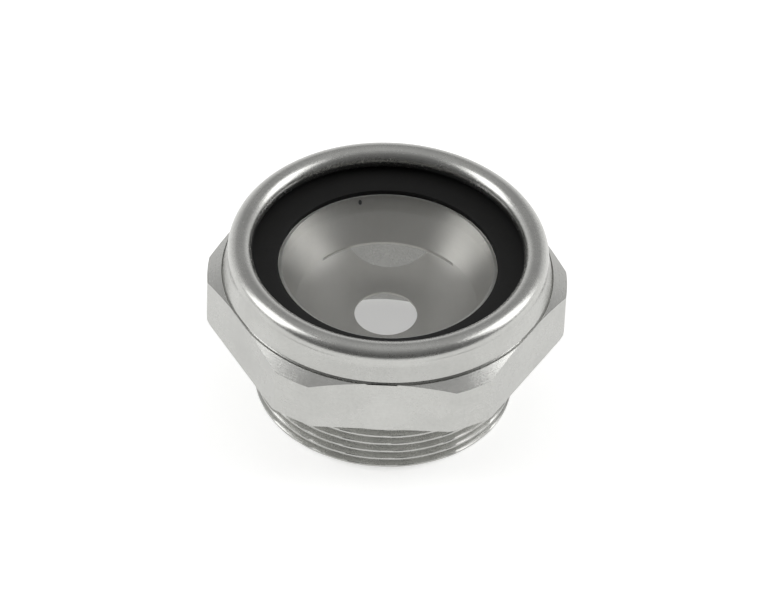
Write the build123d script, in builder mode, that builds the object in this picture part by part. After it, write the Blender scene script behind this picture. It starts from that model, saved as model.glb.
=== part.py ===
"""Tank level gauge: an aluminium screw-in sight glass with a pressed reflector behind the window.

The origin is the centre of the seat face, the underside of the hexagon. +Z is the viewing side and
the threaded shank runs down to -Z. All sizes are in millimetres.
"""
import math
import os

from build123d import *

os.makedirs("parts", exist_ok=True)

# Hexagon: bar stock with the corners turned down and a coned shoulder.
hex_across_flats = 75.0
hex_corner_reach = 3.5
hex_corner_height = 11.9
hex_under_chamfer = 0.5
shoulder_angle = 28.0

# Neck and rolled bead that holds the glass.
neck_foot_inset = 0.1
neck_taper = 0.95
neck_wall = 2.15
neck_undercut_radius = 0.45
bead_tube_radius = 2.8
bead_swell = 0.05

# Threaded shank, G 2: drawn plain at the thread's major diameter.
thread_major_radius = 29.8
shank_length = 20.4
shank_end_chamfer = 1.5

# Bore towards the tank and the pocket for the glass stack.
bore_radius = 25.0
bore_end_chamfer = 0.3
dish_bore_radius = 29.6
dish_bore_floor = 1.0
ledge_height = 9.6

# Glass stack, from the ledge up.
rear_gasket_thickness = 1.0
glass_thickness = 4.4
glass_edge_chamfer = 0.4
glass_face_radius = 24.8
glass_face_rise = 0.5
glass_face_bevel = 0.45
front_gasket_thickness = 1.77
front_gasket_bevel_width = 1.1
front_gasket_bevel_drop = 0.6

# Reflector: one pressed sheet-metal dish with a centre hole and two lanced oil slots.
sheet_thickness = 0.5
dish_flange_width = 2.6
dish_foot_radius = 20.8
dish_foot_height = 1.65
dish_floor_radius = 9.5
dish_floor_height = -1.65
centre_hole_radius = 7.2
slot_width = 0.45
slot_half_span = 15.0
eye_circle_radius = 13.6
eye_circle_offset = 28.6

# Fits between the pieces.
stack_clearance = 0.02
glass_side_clearance = 0.3
gasket_side_clearance = 0.2
gasket_face_clearance = 0.2
dish_side_clearance = 0.6
dish_flange_clearance = 0.4

# Radii that follow from the hexagon, from the bar inwards.
hex_corner_radius = hex_across_flats / 2 + hex_corner_reach
neck_foot_radius = hex_across_flats / 2 - neck_foot_inset
neck_top_radius = neck_foot_radius - neck_taper
bead_centre_radius = neck_top_radius + bead_swell - bead_tube_radius
pocket_radius = neck_top_radius - neck_wall
glass_radius = pocket_radius - glass_side_clearance
front_gasket_outer_radius = pocket_radius - gasket_side_clearance
rear_gasket_outer_radius = pocket_radius - gasket_side_clearance
front_gasket_inner_radius = glass_face_radius + gasket_face_clearance

# Radii that follow from the dish's bore.
dish_rim_radius = dish_bore_radius - dish_side_clearance
dish_flange_radius = dish_rim_radius + dish_flange_width
rear_gasket_inner_radius = dish_flange_radius + dish_flange_clearance
slot_arc_radius = dish_foot_radius

# Heights that follow from the sizes above.
shoulder_rise = (hex_corner_radius - neck_foot_radius) * math.tan(math.radians(shoulder_angle))
shoulder_top = hex_corner_height + shoulder_rise
rear_gasket_bottom = ledge_height + stack_clearance
rear_gasket_top = rear_gasket_bottom + rear_gasket_thickness
glass_bottom = rear_gasket_top + stack_clearance
glass_seat_top = glass_bottom + glass_thickness
front_gasket_bottom = glass_seat_top + stack_clearance
front_gasket_top = front_gasket_bottom + front_gasket_thickness
bead_underside = front_gasket_top + stack_clearance
bead_centre_height = bead_underside + bead_tube_radius
flange_bottom = ledge_height + stack_clearance
flange_top = flange_bottom + sheet_thickness

# Underside of the reflector's sheet, one thickness square to its upper side.
bowl_angle = 2 * math.atan2(dish_foot_height - dish_floor_height, dish_foot_radius - dish_floor_radius)
wall_angle = math.atan2(flange_top - dish_foot_height, dish_rim_radius - dish_foot_radius)
floor_underside = dish_floor_height - sheet_thickness
bowl_under_radius = dish_foot_radius + sheet_thickness * math.sin(bowl_angle)
bowl_under_height = dish_foot_height - sheet_thickness * math.cos(bowl_angle)
wall_under_radius = dish_foot_radius + sheet_thickness * math.sin(wall_angle)
wall_under_height = dish_foot_height - sheet_thickness * math.cos(wall_angle)
rim_under_radius = dish_rim_radius + sheet_thickness * math.tan(wall_angle / 2)
slot_cut_depth = dish_foot_height - dish_floor_height + 2 * sheet_thickness

# The body: hexagon bar, turned shoulder, neck with rolled bead, shank and stepped bore.
with BuildPart() as body:
    with BuildSketch(Plane.XY):
        RegularPolygon(radius=hex_across_flats / 2, side_count=6, major_radius=False)
    extrude(amount=shoulder_top)
    with BuildSketch(Plane.XZ):
        with BuildLine():
            Polyline(
                (0, 0),
                (hex_corner_radius - hex_under_chamfer, 0),
                (hex_corner_radius, hex_under_chamfer),
                (hex_corner_radius, hex_corner_height),
                (neck_foot_radius, shoulder_top),
                (0, shoulder_top),
                close=True,
            )
        make_face()
    revolve(axis=Axis.Z, mode=Mode.INTERSECT)

    # Neck, tapering up to the bead, and the full-round bead itself.
    with BuildSketch(Plane.XZ):
        with BuildLine():
            Polyline(
                (bore_radius, 0),
                (neck_foot_radius, 0),
                (neck_foot_radius, shoulder_top),
                (neck_top_radius, bead_centre_height),
                (bead_centre_radius, bead_centre_height),
                (bead_centre_radius, bead_underside),
                (bore_radius, bead_underside),
                close=True,
            )
        make_face()
        with Locations((bead_centre_radius, bead_centre_height)):
            Circle(bead_tube_radius)
    revolve(axis=Axis.Z)

    # Shank with a chamfered end.
    with BuildSketch(Plane.XY):
        Circle(thread_major_radius)
    extrude(amount=-shank_length)
    chamfer(body.edges().group_by(Axis.Z)[0], length=shank_end_chamfer)

    # Bore from the tank side and the glass pocket from the viewing side.
    with BuildSketch(Plane.XZ):
        with BuildLine():
            Polyline(
                (0, -shank_length),
                (bore_radius + bore_end_chamfer, -shank_length),
                (bore_radius, bore_end_chamfer - shank_length),
                (bore_radius, dish_bore_floor),
                (dish_bore_radius, dish_bore_floor),
                (dish_bore_radius, ledge_height),
                (pocket_radius, ledge_height),
                (pocket_radius, bead_underside),
                (0, bead_underside),
                close=True,
            )
        make_face()
    revolve(axis=Axis.Z, mode=Mode.SUBTRACT)

    # Undercut left by the turning tool at the foot of the neck.
    with BuildSketch(Plane.XZ):
        with Locations((neck_foot_radius, shoulder_top)):
            Circle(neck_undercut_radius)
    revolve(axis=Axis.Z, mode=Mode.SUBTRACT)
body.part.label = "body"
export_step(body.part, "parts/body.step")

# Rear gasket: a flat ring on the ledge around the reflector's flange.
with BuildPart() as rear_gasket:
    with BuildSketch(Plane.XY.offset(rear_gasket_bottom)):
        Circle(rear_gasket_outer_radius)
        Circle(rear_gasket_inner_radius, mode=Mode.SUBTRACT)
    extrude(amount=rear_gasket_thickness)
rear_gasket.part.label = "rear_gasket"
export_step(rear_gasket.part, "parts/rear_gasket.step")

# Reflector: flange, steep wall and a shallow bowl that flattens around the centre hole, one sheet.
with BuildPart() as reflector:
    with BuildSketch(Plane.XZ):
        with BuildLine():
            Line((centre_hole_radius, dish_floor_height), (dish_floor_radius, dish_floor_height))
            TangentArc(
                (dish_floor_radius, dish_floor_height),
                (dish_foot_radius, dish_foot_height),
                tangent=(1, 0),
            )
            Polyline(
                (dish_foot_radius, dish_foot_height),
                (dish_rim_radius, flange_top),
                (dish_flange_radius, flange_top),
                (dish_flange_radius, flange_bottom),
                (rim_under_radius, flange_bottom),
                (wall_under_radius, wall_under_height),
                (bowl_under_radius, bowl_under_height),
            )
            TangentArc(
                (dish_floor_radius, floor_underside),
                (bowl_under_radius, bowl_under_height),
                tangent=(1, 0),
            )
            Polyline(
                (dish_floor_radius, floor_underside),
                (centre_hole_radius, floor_underside),
                (centre_hole_radius, dish_floor_height),
            )
        make_face()
    revolve(axis=Axis.Z)

    # Oil slots at top and bottom: a narrow lanced arc that opens into an eye at its middle.
    with BuildSketch(Plane.XY.offset(dish_foot_height)):
        Circle(slot_arc_radius)
        Circle(slot_arc_radius - slot_width, mode=Mode.SUBTRACT)
        Rectangle(2 * slot_half_span, 2 * slot_arc_radius, mode=Mode.INTERSECT)
    extrude(amount=-slot_cut_depth, mode=Mode.SUBTRACT)
    for side in (1, -1):
        with BuildSketch(Plane.XY.offset(dish_foot_height)):
            Circle(slot_arc_radius - slot_width / 2)
            with Locations((0, side * eye_circle_offset)):
                Circle(eye_circle_radius, mode=Mode.INTERSECT)
        extrude(amount=-slot_cut_depth, mode=Mode.SUBTRACT)
reflector.part.label = "reflector"
export_step(reflector.part, "parts/reflector.step")

# Sight glass: a round pane with a low raised face that fills the gasket's hole.
with BuildPart() as sight_glass:
    with BuildSketch(Plane.XY.offset(glass_bottom)):
        Circle(glass_radius)
    extrude(amount=glass_thickness)
    chamfer(sight_glass.edges().filter_by(GeomType.CIRCLE), length=glass_edge_chamfer)
    with BuildSketch(Plane.XY.offset(glass_seat_top)):
        Circle(glass_face_radius)
    extrude(amount=glass_face_rise)
    chamfer(sight_glass.edges().group_by(Axis.Z)[-1], length=glass_face_bevel)
sight_glass.part.label = "sight_glass"
export_step(sight_glass.part, "parts/sight_glass.step")

# Front gasket: flat ring under the bead with a bevelled inner edge.
with BuildPart() as front_gasket:
    with BuildSketch(Plane.XZ):
        with BuildLine():
            Polyline(
                (front_gasket_inner_radius, front_gasket_bottom),
                (front_gasket_outer_radius, front_gasket_bottom),
                (front_gasket_outer_radius, front_gasket_top),
                (front_gasket_inner_radius + front_gasket_bevel_width, front_gasket_top),
                (front_gasket_inner_radius, front_gasket_top - front_gasket_bevel_drop),
                close=True,
            )
        make_face()
    revolve(axis=Axis.Z)
front_gasket.part.label = "front_gasket"
export_step(front_gasket.part, "parts/front_gasket.step")
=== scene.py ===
"""Tank level gauge: an aluminium screw-in sight glass with a pressed reflector behind the window."""
import math

import bmesh
import bpy
from mathutils import Matrix, Vector


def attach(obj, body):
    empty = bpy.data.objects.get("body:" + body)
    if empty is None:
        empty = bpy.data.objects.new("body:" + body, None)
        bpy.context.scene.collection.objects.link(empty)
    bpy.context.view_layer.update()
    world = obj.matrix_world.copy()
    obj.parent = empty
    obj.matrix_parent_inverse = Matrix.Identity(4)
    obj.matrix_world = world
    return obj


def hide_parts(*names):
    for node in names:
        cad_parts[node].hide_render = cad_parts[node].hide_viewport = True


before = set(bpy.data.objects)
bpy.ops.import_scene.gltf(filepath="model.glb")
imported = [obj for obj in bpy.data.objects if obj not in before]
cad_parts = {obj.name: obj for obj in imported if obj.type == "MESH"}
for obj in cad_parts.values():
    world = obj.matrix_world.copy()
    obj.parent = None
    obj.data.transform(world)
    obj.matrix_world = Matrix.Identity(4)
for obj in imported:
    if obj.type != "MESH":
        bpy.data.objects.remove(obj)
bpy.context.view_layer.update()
MM = 0.001

# --- Body head ---------------------------------------------------------------------------------
# The real head is hexagon bar stock with its corners turned down, a coned shoulder, a short neck
# and a lip rolled into a full-round bead over the glass stack. Aluminium, turned and left bright.


class Flow:
    """A socket of a material's nodes; arithmetic on it adds Math nodes."""

    def __init__(self, surface, socket):
        self.surface = surface
        self.socket = socket

    def _math(self, operation, first, second=None):
        values = [first] if second is None else [first, second]
        return self.surface.node("ShaderNodeMath", {"operation": operation}, values)

    def __add__(self, other):
        return self._math("ADD", self, other)

    __radd__ = __add__

    def __mul__(self, other):
        return self._math("MULTIPLY", self, other)

    __rmul__ = __mul__

    def __sub__(self, other):
        return self._math("SUBTRACT", self, other)

    def __rsub__(self, other):
        return self._math("SUBTRACT", other, self)

    def __truediv__(self, other):
        return self._math("DIVIDE", self, other)

    def __pow__(self, other):
        return self._math("POWER", self, other)

    def clamp(self):
        return self._math("MINIMUM", self._math("MAXIMUM", self, 0.0), 1.0)


class Surface:
    """One finish: a material with a Principled shader and the nodes that feed it."""

    def __init__(self, name, **constants):
        self.material = bpy.data.materials.new(name)
        self.material.use_nodes = True
        self.tree = self.material.node_tree
        self.shader = next(n for n in self.tree.nodes if n.type == "BSDF_PRINCIPLED")
        for socket, value in constants.items():
            self.shader.inputs[socket.replace("_", " ")].default_value = value

    def node(self, kind, settings=None, inputs=(), output=0):
        made = self.tree.nodes.new(kind)
        for name, value in (settings or {}).items():
            if name == "stops":
                ramp = made.color_ramp.elements
                while len(ramp) < len(value):
                    ramp.new(0.5)
                for element, (place, shade) in zip(ramp, value):
                    element.position = place
                    element.color = (shade, shade, shade, 1) if isinstance(shade, float) else (*shade, 1)
            else:
                setattr(made, name, value)
        items = inputs.items() if isinstance(inputs, dict) else enumerate(inputs)
        for key, value in items:
            if isinstance(value, Flow):
                self.tree.links.new(value.socket, made.inputs[key])
            else:
                made.inputs[key].default_value = value
        return Flow(self, made.outputs[output])

    def feed(self, **links):
        for socket, value in links.items():
            self.tree.links.new(value.socket, self.shader.inputs[socket.replace("_", " ")])

    def place(self):
        """The point on the piece in millimetres: its x, y, z and its distance from the axis."""
        where = self.node("ShaderNodeTexCoord", output="Object")
        scaled = self.node("ShaderNodeVectorMath", {"operation": "SCALE"}, {0: where, "Scale": 1000.0})
        split = self.tree.nodes.new("ShaderNodeSeparateXYZ")
        self.tree.links.new(scaled.socket, split.inputs[0])
        x, y, z = (Flow(self, split.outputs[i]) for i in range(3))
        radius = (x * x + y * y) ** 0.5
        return scaled, x, y, z, radius

    def point(self, x, y, z):
        return self.node("ShaderNodeCombineXYZ", inputs=[x, y, z])

    def noise(self, where, scale, detail=2.0, rough=0.5):
        return self.node("ShaderNodeTexNoise", inputs={"Vector": where, "Scale": scale,
                                                      "Detail": detail, "Roughness": rough})

    def mix(self, factor, low, high):
        low, high = ((*c, 1) if isinstance(c, tuple) else c for c in (low, high))
        return self.node("ShaderNodeMix", {"data_type": "RGBA"}, {0: factor, 6: low, 7: high}, output=2)

    def bump(self, height, strength, distance):
        return self.node("ShaderNodeBump", inputs={"Height": height, "Strength": strength,
                                                   "Distance": distance})


def turned_mesh(name, rings, steps, closed=True):
    """A mesh of rings of points, one ring per profile point, joined into quads."""
    count = len(rings)
    points = [p for ring in rings for p in ring]
    faces = []
    for i in range(count if closed else count - 1):
        k = (i + 1) % count
        for j in range(steps):
            n = (j + 1) % steps
            faces.append((i * steps + j, i * steps + n, k * steps + n, k * steps + j))
    mesh = bpy.data.meshes.new(name)
    mesh.from_pydata(points, [], faces)
    welded = bmesh.new()
    welded.from_mesh(mesh)
    bmesh.ops.remove_doubles(welded, verts=welded.verts, dist=1e-7)
    bmesh.ops.recalc_face_normals(welded, faces=welded.faces)
    welded.to_mesh(mesh)
    welded.free()
    for face in mesh.polygons:
        face.use_smooth = True
    made = bpy.data.objects.new(name, mesh)
    bpy.context.scene.collection.objects.link(made)
    return made


def sharpen(piece, degrees):
    """Edges bent by more than this many degrees stay crisp."""
    piece.data.set_sharp_from_angle(angle=math.radians(degrees))


apothem = 37.5
corner_radius = 41.0
corner_height = 11.9
under_chamfer = 0.5
shoulder_slope = math.tan(math.radians(28.0))
neck_foot = 37.4
neck_top, neck_end_height = 36.45, 18.9
undercut = 0.45
bead_radius, bead_height, bead_tube = 33.7, 19.65, 2.8
pocket_radius, ledge = 34.3, 9.6
dish_bore, dish_bore_floor = 29.6, 1.0
bore_radius, bore_chamfer = 25.0, 0.3
shank_length = 20.4
thread_major = 29.8
turns = [math.radians(degree) for degree in range(360)]
for corner in range(6):
    for reached in (corner_radius, corner_radius - under_chamfer):
        half_flat = math.degrees(math.acos(apothem / reached))
        for edge in (30 - half_flat, 30 + half_flat):
            turns[60 * corner + round(edge)] = math.radians(60 * corner + edge)


def reach(turn):
    """How far the hexagon reaches out at this angle before its corners are turned."""
    sixth = math.pi / 3
    off_flat = (turn % sixth) - sixth / 2
    return apothem / math.cos(off_flat)


def head_profile(turn):
    """Section at this angle, from the underside of the hexagon over the bead and down the bore."""
    out = min(reach(turn), corner_radius)
    foot_z = corner_height + (corner_radius - neck_foot) * shoulder_slope
    section = [(thread_major, 0.0)]
    chamfer_in = min(out, corner_radius - under_chamfer)
    section += [(chamfer_in, 0.0), (out, max(0.0, out - (corner_radius - under_chamfer)))]
    top = corner_height + (corner_radius - out) * shoulder_slope
    for part in range(1, 5):
        section.append((out, top * part / 4))
    cone_end = min(neck_foot + undercut, out)
    for part in range(1, 5):
        r = out + (cone_end - out) * part / 4
        section.append((r, corner_height + (corner_radius - r) * shoulder_slope))
    for degree in range(-20, -265, -35):
        a = math.radians(degree)
        section.append((neck_foot + undercut * math.cos(a) * 0.98, foot_z + undercut * math.sin(a)))
    section = [(min(r, out), z) for r, z in section]
    neck_start = foot_z + undercut
    for part in range(0, 6):
        t = part / 5
        neck_radius = neck_foot + (neck_top - neck_foot) * t
        section.append((neck_radius, neck_start + (neck_end_height - neck_start) * t))
    for degree in range(-8, 271, 6):
        a = math.radians(degree)
        section.append((bead_radius + bead_tube * math.cos(a), bead_height + bead_tube * math.sin(a)))
    section += [(pocket_radius, bead_height - bead_tube), (pocket_radius, ledge), (dish_bore, ledge)]
    section += [(dish_bore, dish_bore_floor), (bore_radius, dish_bore_floor)]
    section += [(bore_radius, -z) for z in (3.0, 8.0, 13.0, 18.0, shank_length - bore_chamfer)]
    section.append((bore_radius + bore_chamfer, -shank_length))
    return section


def spun(sections, angles=None):
    """Rings of points from one section per angle, evenly spaced where no angles are given."""
    steps = len(sections)
    rings = []
    for i in range(len(sections[0])):
        ring = []
        for j in range(steps):
            turn = angles[j] if angles else 2 * math.pi * j / steps
            r, z = sections[j][i]
            ring.append((r * math.cos(turn) * MM, r * math.sin(turn) * MM, z * MM))
        rings.append(ring)
    return rings


bright_aluminium = Surface("turned_aluminium", Metallic=1.0, Roughness=0.24)
where, x, y, z, radius = bright_aluminium.place()
turning = bright_aluminium.point(radius * 3.0, z * 3.0, 0.0)
fine_turning = bright_aluminium.noise(turning, 2.2, 3.0, 0.6)
haze = bright_aluminium.noise(where, 0.09, 3.0, 0.6)
grain = bright_aluminium.noise(where, 1.3, 4.0, 0.7)
wear = haze * 0.4 + grain * 0.35 + fine_turning * 0.25
tint = bright_aluminium.mix(wear, (0.31, 0.31, 0.297), (0.65, 0.65, 0.628))
bright_aluminium.feed(
    Base_Color=tint,
    Roughness=0.14 + haze * 0.14 + grain * 0.06 + fine_turning * 0.06,
    Normal=bright_aluminium.bump(fine_turning, 0.35, 0.00006),
)

# The threaded end of the same turned piece: a G 2 pipe thread with rounded crests and roots, its
# run-out under the hexagon and a chamfered end, around the plain bore that lets the oil in.
pitch = 2.309
thread_depth = 1.479
end_chamfer = 0.45
run_out_length = 0.7
first_root = 17.9
rows_per_pitch = 16


def thread_radius(turn, height):
    """Radius of the helix at this angle and height."""
    phase = (height + first_root) / pitch + turn / (2 * math.pi) + 0.25
    wave = 0.5 - 0.5 * math.cos(2 * math.pi * phase)
    shaped = min(1.0, max(0.0, (wave - 0.12) / 0.76))
    crest = thread_major - thread_depth * (1 - shaped)
    run_out = min(1.0, max(0.0, -height / run_out_length))
    chamfer_cut = thread_major - max(0.0, end_chamfer - (height + shank_length))
    return min(thread_major + (crest - thread_major) * run_out, chamfer_cut)


row_count = int(shank_length / pitch * rows_per_pitch)
sections = []
for turn in turns:
    section = [(thread_radius(turn, z), z) for z in
               (-shank_length * (row_count - row) / row_count for row in range(row_count))]
    sections.append(section + head_profile(turn))
body = turned_mesh("gauge_body", spun(sections, turns), len(turns))
sharpen(body, 22)
body.data.materials.append(bright_aluminium.material)
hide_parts("body")
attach(body, "root")

# --- Rear gasket -------------------------------------------------------------------------------
# A thin flat ring of black rubber on the ledge, around the reflector's flange, that the glass
# presses on. Stamped from sheet.
black_rubber = Surface("black_rubber", Roughness=0.62)
where, x, y, z, radius = black_rubber.place()
grain = black_rubber.noise(where, 3.0, 4.0, 0.6)
mottle = black_rubber.noise(where, 0.25, 2.0, 0.5)
black_rubber.shader.inputs["Specular IOR Level"].default_value = 0.2
black_rubber.feed(
    Base_Color=black_rubber.mix(mottle, (0.0045, 0.0045, 0.0045), (0.0085, 0.0085, 0.008)),
    Roughness=0.52 + grain * 0.2,
    Normal=black_rubber.bump(grain, 0.25, 0.00006),
)


def gasket(name, section, steps=240):
    ring = turned_mesh(name, spun([section] * steps), steps)
    sharpen(ring, 30)
    ring.data.materials.append(black_rubber.material)
    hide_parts(name)
    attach(ring, "root")
    return ring


gasket_outer = 34.1
rear_inner, rear_bottom, rear_top = 32.0, 9.62, 10.62
gasket("rear_gasket", [(rear_inner, rear_bottom), (gasket_outer, rear_bottom),
                       (gasket_outer, rear_top), (rear_inner, rear_top)])

# --- Reflector ---------------------------------------------------------------------------------
# One dish pressed from thin aluminium sheet, held by its flange under the glass. Holes in it let
# the oil rise behind the window.
satin_sheet = Surface("satin_sheet", Metallic=0.6, Roughness=0.5)
where, x, y, z, radius = satin_sheet.place()
speckle = satin_sheet.noise(where, 1.6, 3.0, 0.6)
cloud = satin_sheet.noise(where, 0.12, 3.0, 0.6)

# Two paler bands run across the dish. They are painted highlights where the sheet bends down beside the
# middle and would catch the soft boxes. Three small dark specks sit on it too.
left_painted_highlight = (1.0 - ((x + 13.0) / 5.0) ** 2.0).clamp()
right_painted_highlight = (1.0 - ((x - 14.5) / 5.5) ** 2.0).clamp()
# The sheet's colour mixes random cloud and speckle with the two painted highlight bands.
tone_and_painted_highlight = (cloud * 0.5 + speckle * 0.25 + left_painted_highlight * 0.3 + right_painted_highlight * 0.3).clamp()
clean = satin_sheet.mix(tone_and_painted_highlight, (0.66, 0.65, 0.60), (1.0, 0.99, 0.94))
specks = None
for speck_x, speck_y, speck_size in ((-7.0, 26.5, 0.45), (-18.5, -9.5, 0.4), (14.5, -15.0, 0.32)):
    spot = (1.0 - ((x - speck_x) ** 2.0 + (y - speck_y) ** 2.0) / speck_size ** 2).clamp()
    specks = spot if specks is None else specks + spot
satin_sheet.feed(
    Base_Color=satin_sheet.mix((specks * 3.0).clamp(), clean, (0.03, 0.03, 0.028)),
    Roughness=0.34 + cloud * 0.15,
    Normal=satin_sheet.bump(speckle, 0.3, 0.00006),
)
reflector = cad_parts["reflector"]
reflector.data.materials.clear()
reflector.data.materials.append(satin_sheet.material)

# --- Sight glass -------------------------------------------------------------------------------
# A round clear pane with a low raised face that fills the front gasket's hole. Its edge is ground.
clear_glass = Surface("clear_glass", Roughness=0.0, IOR=1.5)
clear_glass.shader.inputs["Transmission Weight"].default_value = 1.0
pane_radius, pane_bottom, seat_top, face_top = 34.0, 10.64, 15.04, 15.54
face_radius, bevel_start = 24.85, 24.1
pane_section = [(0.0, pane_bottom), (20.0, pane_bottom), (pane_radius - 0.4, pane_bottom)]
pane_section += [(pane_radius, pane_bottom + 0.4), (pane_radius, seat_top - 0.4)]
pane_section += [(pane_radius - 0.4, seat_top), (face_radius, seat_top), (face_radius, seat_top + 0.05)]
pane_section += [(bevel_start, face_top), (12.0, face_top), (0.0, face_top)]
pane = turned_mesh("sight_glass_pane", spun([pane_section] * 240), 240, closed=False)
sharpen(pane, 15)
ground_edge = Surface("ground_edge", Roughness=0.45, IOR=1.5)
ground_edge.shader.inputs["Transmission Weight"].default_value = 0.45
where, x, y, z, radius = ground_edge.place()
grit = ground_edge.noise(where, 6.0, 3.0, 0.6)
ground_edge.feed(
    Base_Color=ground_edge.mix(grit, (0.42, 0.43, 0.41), (0.62, 0.63, 0.60)),
    Normal=ground_edge.bump(grit, 0.3, 0.00004),
)
pane.data.materials.append(clear_glass.material)
pane.data.materials.append(ground_edge.material)
for face in pane.data.polygons:
    middle = face.center
    out = math.hypot(middle.x, middle.y) / MM
    if out > pane_radius - 0.5 or (bevel_start < out < face_radius and middle.z > seat_top * MM):
        face.material_index = 1
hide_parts("sight_glass")
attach(pane, "root")

# --- Front gasket ------------------------------------------------------------------------------
# The wide black rubber ring that shows around the window. Flat, with a bevelled inner edge; the
# rolled bead holds it down on the glass.
front_inner, front_bottom, front_top = 25.0, 15.08, 16.83
bevel_width, bevel_drop = 1.1, 0.6
gasket("front_gasket", [(front_inner, front_bottom), (gasket_outer, front_bottom),
                        (gasket_outer, front_top), (front_inner + bevel_width, front_top),
                        (front_inner, front_top - bevel_drop)])

# --- Studio ------------------------------------------------------------------------------------
# A plain white table and horizon, a grey sky that is darker on the camera's side, a dark card in
# front that the camera doesn't see, and two large soft boxes left and right.
table_mesh = bpy.data.meshes.new("table")
reach_m = 6.0
floor_z = -shank_length * MM - 0.0002
table_mesh.from_pydata([(-reach_m, -reach_m, floor_z), (reach_m, -reach_m, floor_z),
                        (reach_m, reach_m, floor_z), (-reach_m, reach_m, floor_z)], [], [(0, 1, 2, 3)])
table = bpy.data.objects.new("table", table_mesh)
bpy.context.scene.collection.objects.link(table)
pale_table = Surface("pale_table", Roughness=0.8)
pale_table.shader.inputs["Base Color"].default_value = (0.86, 0.86, 0.855, 1)
pale_table.shader.inputs["Emission Color"].default_value = (1, 1, 0.995, 1)
pale_table.shader.inputs["Emission Strength"].default_value = 0.52
table.data.materials.append(pale_table.material)

card_mesh = bpy.data.meshes.new("dark_card")
card_half_width, card_foot_y, card_head_y, card_top = 0.5, -0.27, -0.3, 0.16
card_foot = floor_z + 0.001
card_mesh.from_pydata([(-card_half_width, card_foot_y, card_foot), (card_half_width, card_foot_y, card_foot),
                       (card_half_width, card_head_y, card_top), (-card_half_width, card_head_y, card_top)],
                      [], [(0, 1, 2, 3)])
card = bpy.data.objects.new("dark_card", card_mesh)
bpy.context.scene.collection.objects.link(card)
dark_card = Surface("dark_card_paper", Roughness=0.9)
dark_card.shader.inputs["Base Color"].default_value = (0.12, 0.12, 0.12, 1)
card.data.materials.append(dark_card.material)
card.visible_camera = False

world = bpy.data.worlds.new("studio")
bpy.context.scene.world = world
world.use_nodes = True


class Sky(Surface):
    """The world's nodes, fed the same way as a finish."""

    def __init__(self, world):
        self.tree = world.node_tree
        self.shader = self.tree.nodes["Background"]

    def ramp(self, height, stops):
        return self.node("ShaderNodeValToRGB", {"stops": stops}, [height])


sky = Sky(world)
direction = sky.node("ShaderNodeTexCoord")
toward_far = sky.node("ShaderNodeSeparateXYZ", inputs=[direction], output=1)
height = sky.node("ShaderNodeSeparateXYZ", inputs=[direction], output=2)
far_stops = [(0.0, 1.0), (0.14, 1.0), (0.4, 0.75), (0.62, 0.36), (0.8, 0.5), (1.0, 0.62)]
near_stops = [(0.0, 0.9), (0.02, 0.25), (0.5, 0.2), (0.8, 0.3), (1.0, 0.62)]
half_blend = 0.35
span = sky.node("ShaderNodeMapRange", inputs={"Value": toward_far, "From Min": -half_blend,
                                              "From Max": half_blend})
sky.feed(Color=sky.mix(span, sky.ramp(height, near_stops), sky.ramp(height, far_stops)))


def soft_box(name, place, aim, width, height, watts):
    light = bpy.data.lights.new(name, "AREA")
    light.shape = "RECTANGLE"
    light.size, light.size_y, light.energy = width, height, watts
    holder = bpy.data.objects.new(name, light)
    holder.location = place
    holder.rotation_euler = (Vector(aim) - Vector(place)).to_track_quat("-Z", "Y").to_euler()
    bpy.context.scene.collection.objects.link(holder)


soft_box("left_box", (-1.3, -0.1, 0.9), (0, 0, 0), 0.9, 1.2, 9)
soft_box("right_box", (1.3, 0.1, 0.9), (0, 0, 0), 0.9, 1.2, 9)

camera_data = bpy.data.cameras.new("camera")
camera_data.lens = 262.27
camera_data.sensor_width = 36.0
camera_data.shift_x = 0.00172
camera_data.shift_y = 0.0146
camera = bpy.data.objects.new("camera", camera_data)
elevation, roll, distance = math.radians(42.689), math.radians(2.412), 1.29205
camera.matrix_world = (
    Matrix.Translation((0, -distance * math.cos(elevation), distance * math.sin(elevation)))
    @ Matrix.Rotation(math.pi / 2 - elevation, 4, "X")
    @ Matrix.Rotation(roll, 4, "Z")
)
bpy.context.scene.collection.objects.link(camera)
bpy.context.scene.camera = camera
bpy.context.scene.view_settings.view_transform = "Standard"
